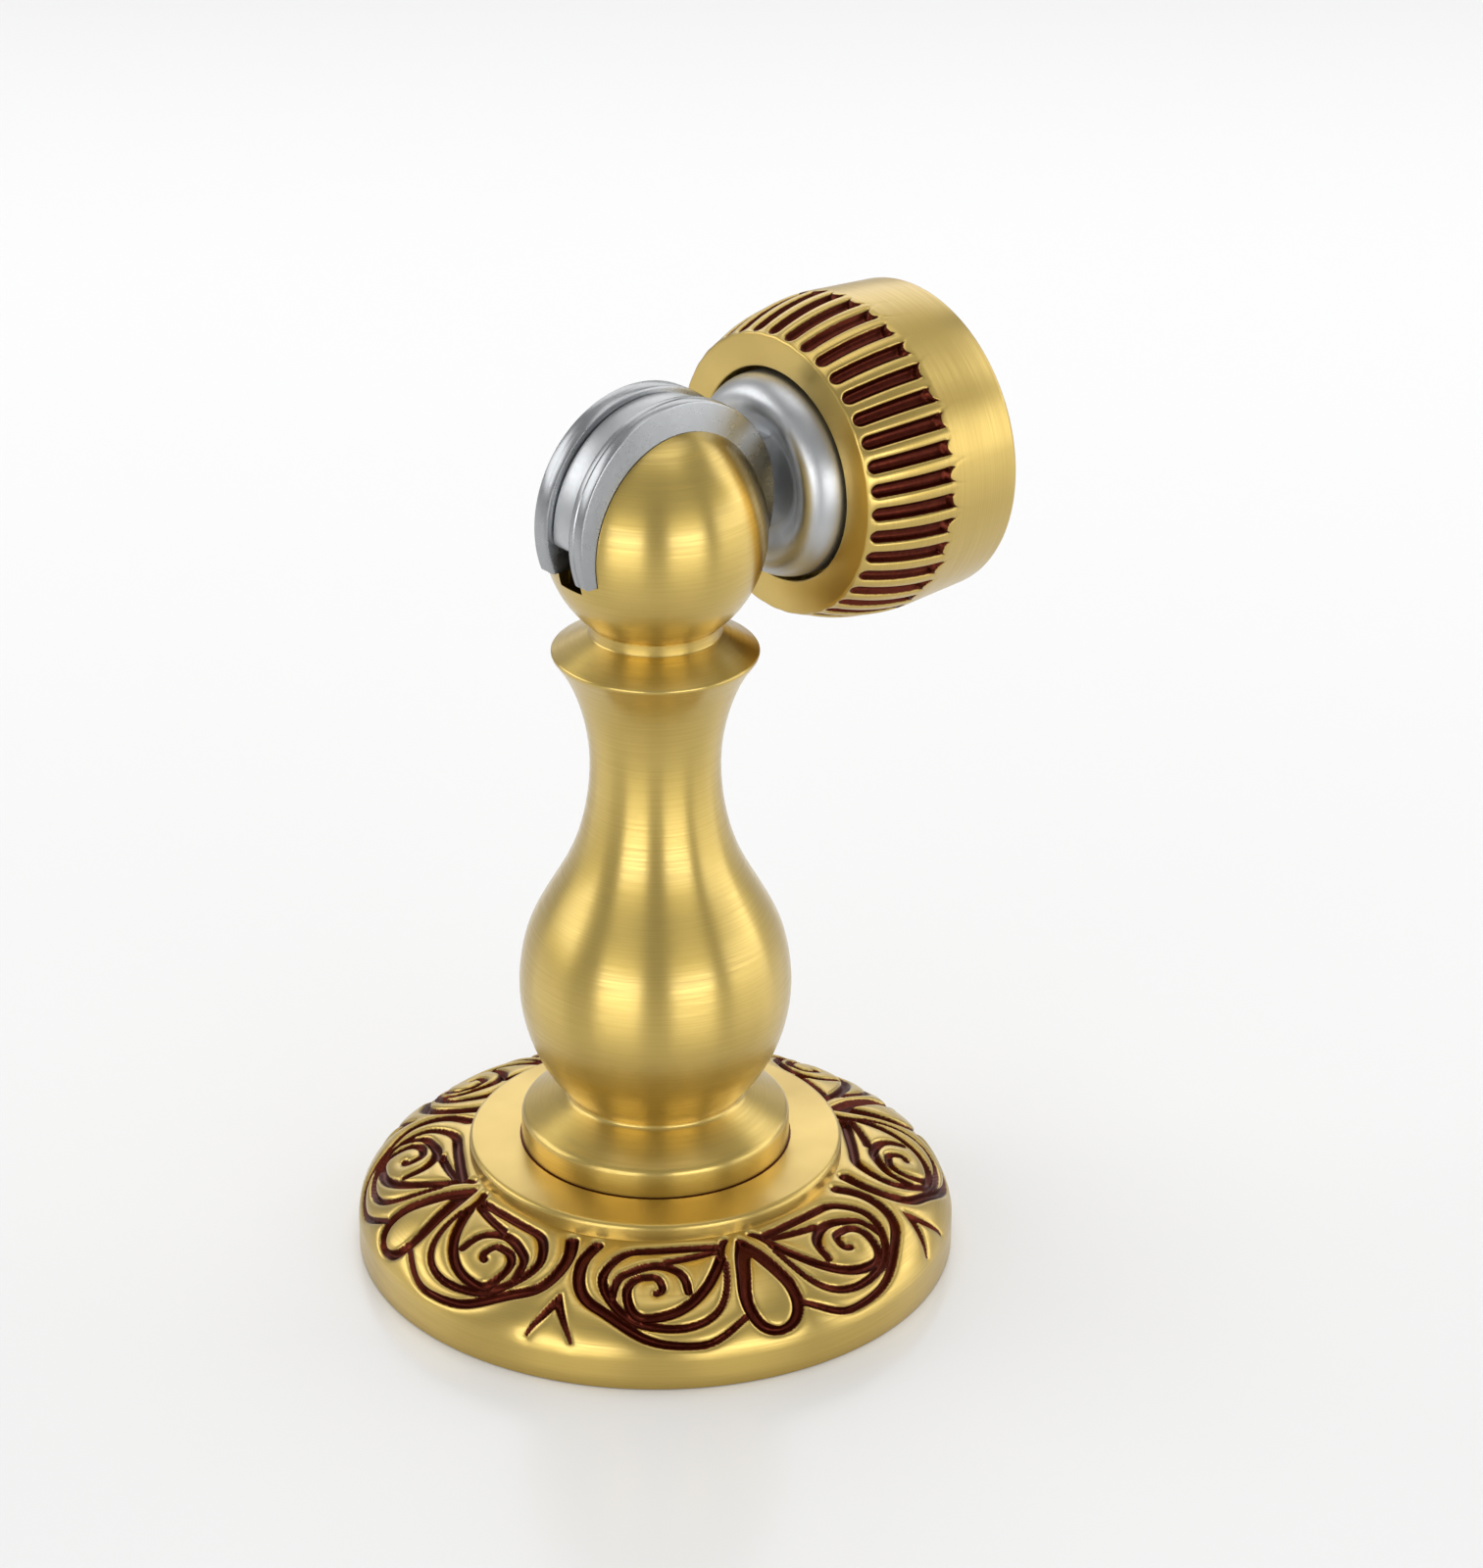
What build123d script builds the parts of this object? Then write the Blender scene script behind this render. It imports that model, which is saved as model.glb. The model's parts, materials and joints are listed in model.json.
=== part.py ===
from build123d import *
import os
from math import acos, cos, degrees, radians, sin, sqrt

# A magnetic door stop: a carved rosette, a turned pillar with a slotted ball on top,
# and a fluted magnet cup on a swivel that tilts in the slot.
# Millimetres, Z up. The pillar stands on the Z axis, its foot on the floor at Z 0,
# and the head points along X.

# Rosette, one brass casting
rosette_radius = 29.5
rosette_side = 3.0
rosette_height = 11.4
plate_radius = 18.4
plate_side = 1.6
plate_edge = 0.35
dome_centre = 16.0
hollow_wall = 6.0
hollow_boss = 7.9
hollow_depth = 4.6

# Carving of the rosette
motif_count = 4
motif_turn = -14.5
carving_depth = 0.9

# Pillar, one brass turning
spigot_radius = 7.0
spigot_gap = 0.1
foot_radius = 13.2
foot_side = 2.85
cone_radius = 8.7
cone_rise = 2.6
collar_radius = 9.9
collar_rise = 46.5
collar_lip = 0.3
collar_slope = 1.9
ring_radius = 6.3
ring_rise = 1.15
ball_radius = 10.6
ball_half_height = 11.3
thread_radius = 2.5
thread_depth = 22.0

# Belly, waist and neck of the pillar, each point a radius and a height above the cone
baluster = [
    (10.4, 2.2), (12.0, 5.2), (12.9, 8.2), (13.25, 11.2), (13.05, 14.2), (12.35, 17.2), (10.4, 21.2),
    (8.25, 25.2), (6.95, 29.2), (6.35, 33.2), (6.4, 37.2), (6.95, 40.2), (7.75, 42.7), (8.7, 44.7),
]

# Tilting hinge in the slot of the ball
pivot_lift = 1.9
tongue_thickness = 2.7
tongue_radius = 11.1
tongue_drop = 1.2
tongue_corner = 1.0
tongue_gap = 0.2
pocket_gap = 0.2
cheek_thickness = 2.0
cheek_radius = 11.65
cheek_drop = 4.1
cheek_edge = 0.2
cheek_gap = 0.1
pin_radius = 1.5
pin_seat_gap = 0.02
pin_running_gap = 0.05
pin_blind_end = 8.0
pin_recess = 0.25
pin_edge = 0.2

# Swivel drum behind the cup
drum_radius = 10.0
drum_rim_x = 11.7
drum_end_x = 18.0
drum_round = 1.6
dish_depth = 1.2
dish_floor_radius = 4.6
dish_bow = 0.3
web_half_height = 4.6
spring_seat_depth = 3.2
spring_seat_post = 3.7
screw_hole_gap = 0.05

# Magnet cup, one brass turning
cup_back_x = 14.4
cup_length = 17.3
cup_radius = 15.8
cup_back_radius = 13.85
cup_back_edge = 0.3
cup_rim_radius = 15.3
cup_rim_edge = 0.35
shoulder_length = 8.9
shoulder_rise = 0.45
drum_gap = 0.45
front_bore_radius = 13.2
chamber_radius = 8.0
partition_thickness = 1.4
flute_count = 38
flute_width = 1.4
flute_depth = 0.8
flute_start = 0.15
flute_length = 8.1
flute_notch = 0.35

# Buffer and magnet
buffer_travel = 2.5
buffer_spare = 0.3
shoulder_screw_radius = 3.0
shoulder_running_gap = 0.08
screw_thread_radius = 2.0
screw_thread_length = 3.3
screw_head_radius = 5.0
screw_head_height = 1.4
screw_head_gap = 0.05
screw_slot_width = 1.2
screw_slot_depth = 0.7
spring_wire = 0.8
spring_radius = 5.4
spring_turns = 3.5
spring_end_gap = 0.05
pole_radius = 10.0
pole_wall = 1.0
pole_setback = 0.5
magnet_gap = 0.05
magnet_setback = 0.2
ring_gap = 0.05
ring_proud = 0.4
ring_edge = 0.4

# Heights up the pillar
foot_z = rosette_height
foot_top_z = foot_z + foot_side
cone_z = foot_top_z + cone_rise
collar_z = cone_z + collar_rise
ring_z = collar_z + collar_lip + collar_slope
ball_base_z = ring_z + ring_rise
ball_z = ball_base_z + ball_half_height * sqrt(1 - (ring_radius / ball_radius) ** 2)
pivot_z = ball_z + pivot_lift
slot_floor_z = pivot_z - cheek_drop

# Places along the head, measured from the pivot
slot_half_width = tongue_thickness / 2 + tongue_gap + cheek_thickness + cheek_gap
dish_floor_x = drum_rim_x + dish_depth
partition_x = drum_end_x + buffer_travel + buffer_spare
chamber_x = partition_x + partition_thickness
screw_head_x = chamber_x + screw_head_gap
pole_x = screw_head_x + screw_head_height + buffer_travel + buffer_spare
cup_front_x = cup_back_x + cup_length
pole_front_x = cup_front_x - pole_setback
spring_seat_x = drum_end_x - spring_seat_depth
opening_radius = drum_radius + drum_gap
to_pivot = Pos(0, 0, pivot_z)


def turned(outline, axis):
    """A turning: a closed outline swept once round its axis."""
    return revolve(make_face(outline), axis)


def upright(points):
    """Outline points given as radius and height, placed in the XZ plane."""
    return [Vector(radius, 0, height) for radius, height in points]


def tube(inner, outer, start, end):
    """A ring or, with no inner radius, a disc along the head axis."""
    corners = [(start, inner), (end, inner), (end, outer), (start, outer)]
    return turned(Polyline(*corners, close=True), Axis.X)


# Rosette

dome_reach = rosette_radius - dome_centre
dome_height = rosette_height - plate_side - rosette_side


def dome_arc(drop):
    """The domed line of the carved ring, from its rim up to the plate, lowered by a drop."""
    centre = (dome_centre, rosette_side - drop)
    turn = degrees(acos((plate_radius - dome_centre) / dome_reach))
    return Plane.XZ * EllipticalCenterArc(centre, dome_reach, dome_height, 0, arc_size=turn)


def rosette_blank():
    bore = spigot_radius + spigot_gap
    boss = bore + hollow_boss
    pocket = rosette_radius - hollow_wall
    dome = dome_arc(0)
    step = [
        (rosette_radius, 0),
        (pocket, 0),
        (pocket, hollow_depth),
        (boss, hollow_depth),
        (boss, 0),
        (bore, 0),
        (bore, rosette_height),
        (plate_radius - plate_edge, rosette_height),
        (plate_radius, rosette_height - plate_edge),
    ]
    return turned(dome + Polyline(dome @ 0, *upright(step), dome @ 1), Axis.Z)


def on_ring(angle, share):
    """A point of the carved ring: degrees round it and the share of its width outwards."""
    radius = plate_radius + share * (rosette_radius - plate_radius)
    return Vector(radius * cos(radians(angle)), radius * sin(radians(angle)), 0)


# Half of one palmette, each groove as its middle line (degrees from the petal, share of the
# ring's width), its width at the start, the middle and the end, and its count of straight cuts
outer_sweep = [
    (6.6, 0.85), (12.9, 0.945), (19, 0.955), (27, 0.915), (36, 0.76),
    (41.9, 0.548), (43, 0.315), (41, 0.12),
]
inner_sweep = [
    (6.9, 0.341), (9.6, 0.666), (16.3, 0.855), (24.3, 0.862), (33.9, 0.684),
    (36.9, 0.438), (34.9, 0.25), (28.3, 0.12), (16.3, 0.1), (8, 0.12),
]
volute = [
    (7.6, 0.27), (12.9, 0.547), (19.6, 0.748), (25.6, 0.803), (30, 0.711), (30.8, 0.564),
    (28.9, 0.453), (26, 0.43), (23.4, 0.48), (23, 0.548), (24.3, 0.593),
]
eye_ring = [
    (33.8, 0.658), (33.4, 0.49), (30.9, 0.385), (24.8, 0.297), (20.4, 0.34),
    (17.7, 0.464), (17.3, 0.59),
]
leaf_line = [(21.5, 0.253), (16.3, 0.222), (9.2, 0.185)]
petal = [
    (-0.8, 0.13), (2.1, 0.314), (4.3, 0.547), (5.4, 0.78), (4.6, 0.905),
    (2.3, 0.94), (-0.8, 0.945),
]
chevron = [(45.5, 0.70), (43.2, 0.845), (40.6, 0.955)]
grooves = [
    (outer_sweep, (0.45, 0.7, 1.3), 7),
    (inner_sweep, (0.45, 0.75, 0.8), 8),
    (volute, (0.85, 0.8, 0.55), 9),
    (eye_ring, (0.55, 0.85, 0.6), 5),
    (leaf_line, (0.7, 0.65, 0.55), 1),
    (petal, (1.3, 1.1, 0.6), 4),
    (chevron, (0.7, 0.5, 0.15), 1),
]


def groove_outline(points, widths, cuts):
    """The outline of one tapering groove, seen from above."""
    middle_line = Spline(*[on_ring(angle, share) for angle, share in points])
    start, middle, end = widths
    left = []
    right = []
    for cut in range(cuts + 1):
        along = cut / cuts
        width = (1 - along) * (start + 2 * along * (2 * middle - start - end)) + along * end
        across = middle_line.tangent_at(along).rotate(Axis.Z, 90) * (width / 2)
        left.append(middle_line.position_at(along) + across)
        right.append(middle_line.position_at(along) - across)
    return make_face(Polyline(*left, *reversed(right), close=True))


def carve(blank):
    """Cuts every groove to one depth below the domed ring, mirrored and repeated round it."""
    top = rosette_height + carving_depth
    bed = dome_arc(carving_depth)
    wall = Polyline(bed @ 0, *upright([(rosette_radius, top), (plate_radius, top)]), bed @ 1)
    layer = turned(bed + wall, Axis.Z)
    half = [extrude(groove_outline(*groove), top) & layer for groove in grooves]
    motif = half + [mirror(cut, about=Plane.XZ) for cut in half]
    for number in range(motif_count):
        turn = Rot(0, 0, motif_turn + number * 360 / motif_count)
        blank = blank - [turn * cut for cut in motif]
    return blank


# Pillar


def pillar_blank():
    foot = [
        (0, 0),
        (spigot_radius, 0),
        (spigot_radius, foot_z),
        (foot_radius, foot_z),
        (foot_radius, foot_top_z),
        (cone_radius, cone_z),
    ]
    line = [(radius, cone_z + rise) for radius, rise in baluster]
    line = [(cone_radius, cone_z), *line, (collar_radius, collar_z)]
    collar = [
        (collar_radius, collar_z),
        (collar_radius, collar_z + collar_lip),
        (ring_radius, ring_z),
        (ring_radius, ball_base_z),
    ]
    start_angle = -degrees(acos(ring_radius / ball_radius))
    turn = 90 - start_angle
    ball = EllipticalCenterArc((0, ball_z), ball_radius, ball_half_height, start_angle, arc_size=turn)
    middle = Line(Vector(0, 0, ball_z + ball_half_height), Vector(0, 0, 0))
    outline = Polyline(*upright(foot)) + Spline(*upright(line))
    return turned(outline + Polyline(*upright(collar)) + Plane.XZ * ball + middle, Axis.Z)


def across_hinge(radius, half_width):
    """A disc about the hinge axis, centred on the slot."""
    return to_pivot * Rot(90, 0, 0) * Cylinder(radius, 2 * half_width)


def make_pillar():
    slot_height = ball_half_height + ball_z - slot_floor_z
    slot = Box(4 * ball_radius, 2 * slot_half_width, 2 * slot_height)
    pocket = across_hinge(tongue_radius + pocket_gap, tongue_thickness / 2 + tongue_gap)
    pin_hole_length = pin_blind_end + ball_radius
    pin_hole = across_hinge(pin_radius + pin_seat_gap, pin_hole_length / 2)
    hole = Cylinder(thread_radius, 2 * thread_depth)
    body = pillar_blank() - Pos(0, 0, slot_floor_z + slot_height) * slot - pocket
    return body - Pos(0, (ball_radius - pin_blind_end) / 2, 0) * pin_hole - hole


rosette = carve(rosette_blank())
pillar = make_pillar()

# Hinge


def make_cheek(side):
    """A stamped cheek plate, flat along its foot, standing on the floor of the slot."""
    disc = across_hinge(cheek_radius, cheek_thickness / 2)
    disc = chamfer(disc.edges().filter_by(GeomType.CIRCLE), cheek_edge)
    below = Pos(0, 0, slot_floor_z - cheek_radius)
    below = below * Box(4 * cheek_radius, 4 * cheek_radius, 2 * cheek_radius)
    plate = disc - below - across_hinge(pin_radius + pin_running_gap, cheek_thickness)
    offset = tongue_thickness / 2 + tongue_gap + cheek_thickness / 2
    return Pos(0, side * offset, 0) * plate


def make_pin():
    """A plain dowel, driven in from the far side of the ball."""
    ball_here = ball_radius * sqrt(1 - (pivot_lift / ball_half_height) ** 2)
    length = pin_blind_end + ball_here - pin_recess
    pin = across_hinge(pin_radius, length / 2)
    pin = chamfer(pin.edges().filter_by(GeomType.CIRCLE), pin_edge)
    return Pos(0, (ball_here - pin_recess - pin_blind_end) / 2, 0) * pin


cheek_plate_left = make_cheek(1)
cheek_plate_right = make_cheek(-1)
hinge_pin = make_pin()

# Swivel


def make_tongue():
    """The flat tongue: the upper half of a disc, with a web that runs into the drum."""
    disc = Cylinder(tongue_radius, tongue_thickness)
    low = Pos(-tongue_radius, -tongue_radius - tongue_drop, 0)
    disc = disc - low * Box(2 * tongue_radius, 2 * tongue_radius, 2 * tongue_thickness)
    tip = disc.edges().filter_by(Axis.Z).sort_by(Axis.X)[0]
    disc = fillet(tip, tongue_corner)
    web_length = dish_floor_x + drum_round
    web = Pos(web_length / 2, 0, 0) * Box(web_length, 2 * web_half_height, tongue_thickness)
    hole = Cylinder(pin_radius + pin_running_gap, 2 * tongue_thickness)
    return Rot(90, 0, 0) * (disc + web - hole)


def make_drum():
    """The round drum that the cup slides on, dished towards the ball."""
    floor = Vector(dish_floor_x, dish_floor_radius)
    crest = Vector(drum_rim_x, drum_radius - drum_round)
    slope = (crest - floor).normalized()
    bow = (floor + crest) * 0.5 + Vector(slope.Y, -slope.X) * dish_bow
    corner = Vector(drum_rim_x + drum_round, drum_radius - drum_round)
    diagonal = corner + Vector(-drum_round, drum_round) * sqrt(0.5)
    edge = corner + Vector(0, drum_round)
    dish = Line((dish_floor_x, 0), floor) + ThreePointArc(floor, bow, crest)
    side = Polyline(edge, (drum_end_x, drum_radius), (drum_end_x, 0), (dish_floor_x, 0))
    drum = turned(dish + ThreePointArc(crest, diagonal, edge) + side, Axis.X)
    seat_radius = spring_radius + spring_wire
    seat = tube(spring_seat_post, seat_radius, spring_seat_x, drum_end_x)
    screw_hole_end = drum_end_x - screw_thread_length
    screw_hole = tube(0, screw_thread_radius + screw_hole_gap, screw_hole_end, drum_end_x)
    return drum - seat - screw_hole


swivel = to_pivot * (make_tongue() + make_drum())

# Magnet cup

cup_shoulder_start = Vector(cup_back_x + cup_back_edge, cup_back_radius)
cup_shoulder_end = Vector(cup_back_x + cup_back_edge + shoulder_length, cup_radius)


def shoulder_arc(drop):
    """The bulged shoulder of the cup, lowered towards the axis by a drop."""
    shift = Vector(0, -drop)
    along = (cup_shoulder_end - cup_shoulder_start).normalized()
    crown = (cup_shoulder_start + cup_shoulder_end) * 0.5 + Vector(-along.Y, along.X) * shoulder_rise
    return ThreePointArc(cup_shoulder_start + shift, crown + shift, cup_shoulder_end + shift)


def cup_blank():
    outside = [
        cup_shoulder_end,
        (cup_front_x - cup_rim_edge, cup_rim_radius),
        (cup_front_x, cup_rim_radius - cup_rim_edge),
        (cup_front_x, front_bore_radius),
    ]
    inside = [
        (pole_x, front_bore_radius),
        (pole_x, chamber_radius),
        (chamber_x, chamber_radius),
        (chamber_x, shoulder_screw_radius + shoulder_running_gap),
        (partition_x, shoulder_screw_radius + shoulder_running_gap),
        (partition_x, opening_radius),
        (cup_back_x, opening_radius),
        (cup_back_x, cup_back_radius - cup_back_edge),
        cup_shoulder_start,
    ]
    return turned(shoulder_arc(0) + Polyline(*outside, *inside), Axis.X)


def make_cup():
    """The cup with its shoulder fluted all round."""
    wall = Polyline(
        cup_shoulder_end - Vector(0, flute_depth),
        (cup_shoulder_end.X, 2 * cup_radius),
        (cup_shoulder_start.X, 2 * cup_radius),
        cup_shoulder_start - Vector(0, flute_depth),
    )
    layer = turned(shoulder_arc(flute_depth) + wall, Axis.X)
    half = flute_width / 2
    start = cup_shoulder_start.X + flute_start
    end = start + flute_length
    outline = Polyline(
        (start, half / 2),
        (start, -half / 2),
        (start + half, -half),
        (end, -half),
        (end - flute_notch, 0),
        (end, half),
        (start + half, half),
        close=True,
    )
    flute = extrude(make_face(outline), 2 * cup_radius) & layer
    flutes = [Rot(number * 360 / flute_count, 0, 0) * flute for number in range(flute_count)]
    return cup_blank() - flutes


cup = to_pivot * make_cup()

# Buffer, screw and magnet


def make_screw():
    """A shoulder screw: thread, plain shoulder and a slotted head."""
    thread = tube(0, screw_thread_radius, drum_end_x - screw_thread_length, drum_end_x)
    shoulder = tube(0, shoulder_screw_radius, drum_end_x, screw_head_x)
    head_end = screw_head_x + screw_head_height
    head = tube(0, screw_head_radius, screw_head_x, head_end)
    slot = Box(2 * screw_slot_depth, 4 * screw_head_radius, screw_slot_width)
    return thread + shoulder + head - Pos(head_end, 0, 0) * slot


def make_spring():
    """A short coil spring between the drum and the partition of the cup."""
    height = partition_x - spring_seat_x - spring_wire - 2 * spring_end_gap
    coil = Helix(height / spring_turns, height, spring_radius)
    wire = Plane(coil @ 0, z_dir=coil % 0) * Circle(spring_wire / 2)
    start = spring_seat_x + spring_wire / 2 + spring_end_gap
    return Pos(start, 0, 0) * Rot(0, 90, 0) * sweep(wire, path=coil, is_frenet=True)


def make_pole_cup():
    """The steel pot round the magnet."""
    pot = tube(0, pole_radius, pole_x, pole_front_x)
    return pot - tube(0, pole_radius - pole_wall, pole_x + pole_wall, pole_front_x)


def make_buffer_ring():
    """The rubber ring that stands a little proud of the rim."""
    inner = pole_radius + ring_gap
    outer = front_bore_radius - ring_gap
    ring = tube(inner, outer, pole_x, cup_front_x + ring_proud)
    front = ring.edges().filter_by(GeomType.CIRCLE).group_by(Axis.X)[-1]
    return fillet(front, ring_edge)


magnet_radius = pole_radius - pole_wall - magnet_gap
shoulder_screw = to_pivot * make_screw()
buffer_spring = to_pivot * make_spring()
pole_cup = to_pivot * make_pole_cup()
magnet = to_pivot * tube(0, magnet_radius, pole_x + pole_wall, pole_front_x - magnet_setback)
buffer_ring = to_pivot * make_buffer_ring()

nodes = {
    "rosette": rosette,
    "pillar": pillar,
    "cheek_plate_left": cheek_plate_left,
    "cheek_plate_right": cheek_plate_right,
    "hinge_pin": hinge_pin,
    "swivel": swivel,
    "shoulder_screw": shoulder_screw,
    "buffer_spring": buffer_spring,
    "cup": cup,
    "pole_cup": pole_cup,
    "magnet": magnet,
    "buffer_ring": buffer_ring,
}
os.makedirs("parts", exist_ok=True)
for name, solid in nodes.items():
    export_step(solid, f"parts/{name}.step")
    print(name, "volume", round(solid.volume), "mm3")
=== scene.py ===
# %% [markdown]
# A magnetic door stop
#
# The object is a brass door stop: a carved rosette on the floor, a turned pillar, and a fluted magnet
# cup on a plated swivel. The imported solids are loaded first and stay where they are. Every piece that
# shows is then modelled again in finer detail over its own solid, because a satin metal surface shows
# each facet and each hard edge.

# %% The frame
import json
from math import acos, atan2, cos, hypot, pi, radians, sin, sqrt

import bmesh
import bpy
import numpy as np
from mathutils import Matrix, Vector


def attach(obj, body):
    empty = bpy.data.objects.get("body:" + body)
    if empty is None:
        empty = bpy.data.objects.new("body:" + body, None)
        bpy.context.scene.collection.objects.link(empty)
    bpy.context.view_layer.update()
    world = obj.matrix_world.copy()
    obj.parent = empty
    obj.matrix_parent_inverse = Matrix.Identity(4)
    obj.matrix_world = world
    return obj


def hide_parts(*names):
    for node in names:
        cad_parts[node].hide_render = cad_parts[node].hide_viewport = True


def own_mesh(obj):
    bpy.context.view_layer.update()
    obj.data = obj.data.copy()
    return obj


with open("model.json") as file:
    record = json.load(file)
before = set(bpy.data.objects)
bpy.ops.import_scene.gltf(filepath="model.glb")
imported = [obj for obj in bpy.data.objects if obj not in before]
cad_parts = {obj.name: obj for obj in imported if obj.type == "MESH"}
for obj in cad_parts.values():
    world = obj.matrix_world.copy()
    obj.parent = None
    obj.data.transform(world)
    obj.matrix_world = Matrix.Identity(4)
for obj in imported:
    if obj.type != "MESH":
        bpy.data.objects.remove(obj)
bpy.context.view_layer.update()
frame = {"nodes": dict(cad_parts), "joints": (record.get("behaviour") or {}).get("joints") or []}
MM = 0.001
PIVOT_Z = frame["joints"][0]["pos_m"][2] / MM
UP = Vector((0, 0, 1))
HEAD = Vector((1, 0, 0))
HINGE = Vector((0, 1, 0))
print("solids", sorted(frame["nodes"]), "pivot height", round(PIVOT_Z, 2), "mm")

# %% [markdown]
# Camera
#
# The photograph looks down on the stop by about 26 degrees, from a little more than half a metre, with
# a long lens. The pillar stands left of the middle of the frame, so the camera is shifted sideways and
# not turned, which keeps the pillar upright in the picture.

# %% Camera
camera_data = bpy.data.cameras.new("camera")
camera_data.lens = 112.5
camera_data.shift_x = 0.0547
camera = bpy.data.objects.new("camera", camera_data)
camera.location = (-0.2663, -0.3282, 0.2515)
camera.rotation_euler = (radians(64.45), 0, radians(-39.06))
bpy.context.scene.collection.objects.link(camera)
bpy.context.scene.camera = camera
bpy.context.scene.view_settings.view_transform = "Standard"
print("camera at", [round(x, 3) for x in camera.location])

# %% [markdown]
# Colours and nodes
#
# Colours are written as sRGB hex values, as a colour picker shows them, and Blender's shaders want
# linear light, so one function turns the one into the other. A second small function adds a node: it
# sets its properties, and each input gets either a value or a link from another node's output.


# %% Colour and node helpers
def colour(code):
    """An sRGB hex colour as linear red, green, blue and alpha."""
    parts = [int(code[place:place + 2], 16) / 255 for place in (1, 3, 5)]
    linear = [part / 12.92 if part <= 0.04045 else ((part + 0.055) / 1.055) ** 2.4 for part in parts]
    return (*linear, 1)


def add(tree, kind, inputs=None, **settings):
    """Adds one node with its properties, and sets or links its inputs by name or number."""
    item = tree.nodes.new(kind)
    for name, value in settings.items():
        setattr(item, name, value)
    for name, value in (inputs or {}).items():
        if isinstance(value, bpy.types.NodeSocket):
            tree.links.new(value, item.inputs[name])
        else:
            item.inputs[name].default_value = value
    return item


def new_material(name):
    """An empty material with its output node."""
    material = bpy.data.materials.new(name)
    material.use_nodes = True
    material.node_tree.nodes.clear()
    output = material.node_tree.nodes.new("ShaderNodeOutputMaterial")
    return material, material.node_tree, output


def per_mm(x, y, z):
    """Pattern steps per millimetre along each axis, as a scale for coordinates in metres."""
    return (x / MM, y / MM, z / MM)


print("hex #808080 is linear", round(colour("#808080")[0], 4))

# %% [markdown]
# Satin brass
#
# The pillar, the rosette and the cup are lacquered brass, turned on a lathe and then rubbed with a fine
# abrasive while they spin. That leaves hair-fine lines round each piece, which spread every highlight
# across the lines. The spread is the shader's anisotropy, turned to the tangent round the axis. The lines
# are noise that is stretched round the piece and squeezed along its axis. Real ones are about 0.05 mm
# apart. They are drawn at about 0.15 mm, so that they show in the render. A clear lacquer lies over the
# metal, and pales the brightest highlights.


# %% Satin brass
LINES_ACROSS = 7
LINES_ALONG = 0.12
LINE_DEPTH = 0.03
SATIN = (0.28, 0.41)


def lathe_lines(tree, place, axis, tones, strength):
    """The turned lines about an axis, as brass tone, roughness, normal and the tangent round the axis."""
    scale = [LINES_ACROSS if letter == axis else LINES_ALONG for letter in "XYZ"]
    stretched = add(tree, "ShaderNodeMapping", {"Vector": place, "Scale": per_mm(*scale)})
    hairlines = add(tree, "ShaderNodeTexNoise", {"Vector": stretched.outputs[0], "Scale": 1, "Detail": 3})
    tone = add(
        tree, "ShaderNodeMix",
        {"Factor": hairlines.outputs["Fac"], "A": colour(tones[0]), "B": colour(tones[1])},
        data_type="RGBA",
    )
    polish = add(
        tree, "ShaderNodeMapRange",
        {"Value": hairlines.outputs["Fac"], "From Min": 0.3, "From Max": 0.7,
         "To Min": SATIN[0], "To Max": SATIN[1]},
    )
    grooves = add(
        tree, "ShaderNodeBump",
        {"Height": hairlines.outputs["Fac"], "Strength": strength, "Distance": LINE_DEPTH * MM},
    )
    around = add(tree, "ShaderNodeTangent", direction_type="RADIAL", axis=axis)
    return tone.outputs["Result"], polish.outputs[0], grooves.outputs[0], around.outputs[0]


def turned_brass(name, axis, tones):
    """Lacquered brass turned about an axis."""
    material, tree, output = new_material(name)
    place = add(tree, "ShaderNodeTexCoord").outputs["Object"]
    tone, polish, grooves, around = lathe_lines(tree, place, axis, tones, 0.05)
    shader = add(
        tree, "ShaderNodeBsdfPrincipled",
        {"Base Color": tone, "Metallic": 1, "Roughness": polish, "Normal": grooves,
         "Coat Weight": 0.75, "Coat Roughness": 0.22,
         "Anisotropic": 0.7, "Anisotropic Rotation": 0.25, "Tangent": around},
    )
    tree.links.new(shader.outputs[0], output.inputs[0])
    return material


pillar_brass = turned_brass("turned_satin_brass", "Z", ("#e0c46e", "#ceae55"))
print("made", pillar_brass.name)
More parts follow.
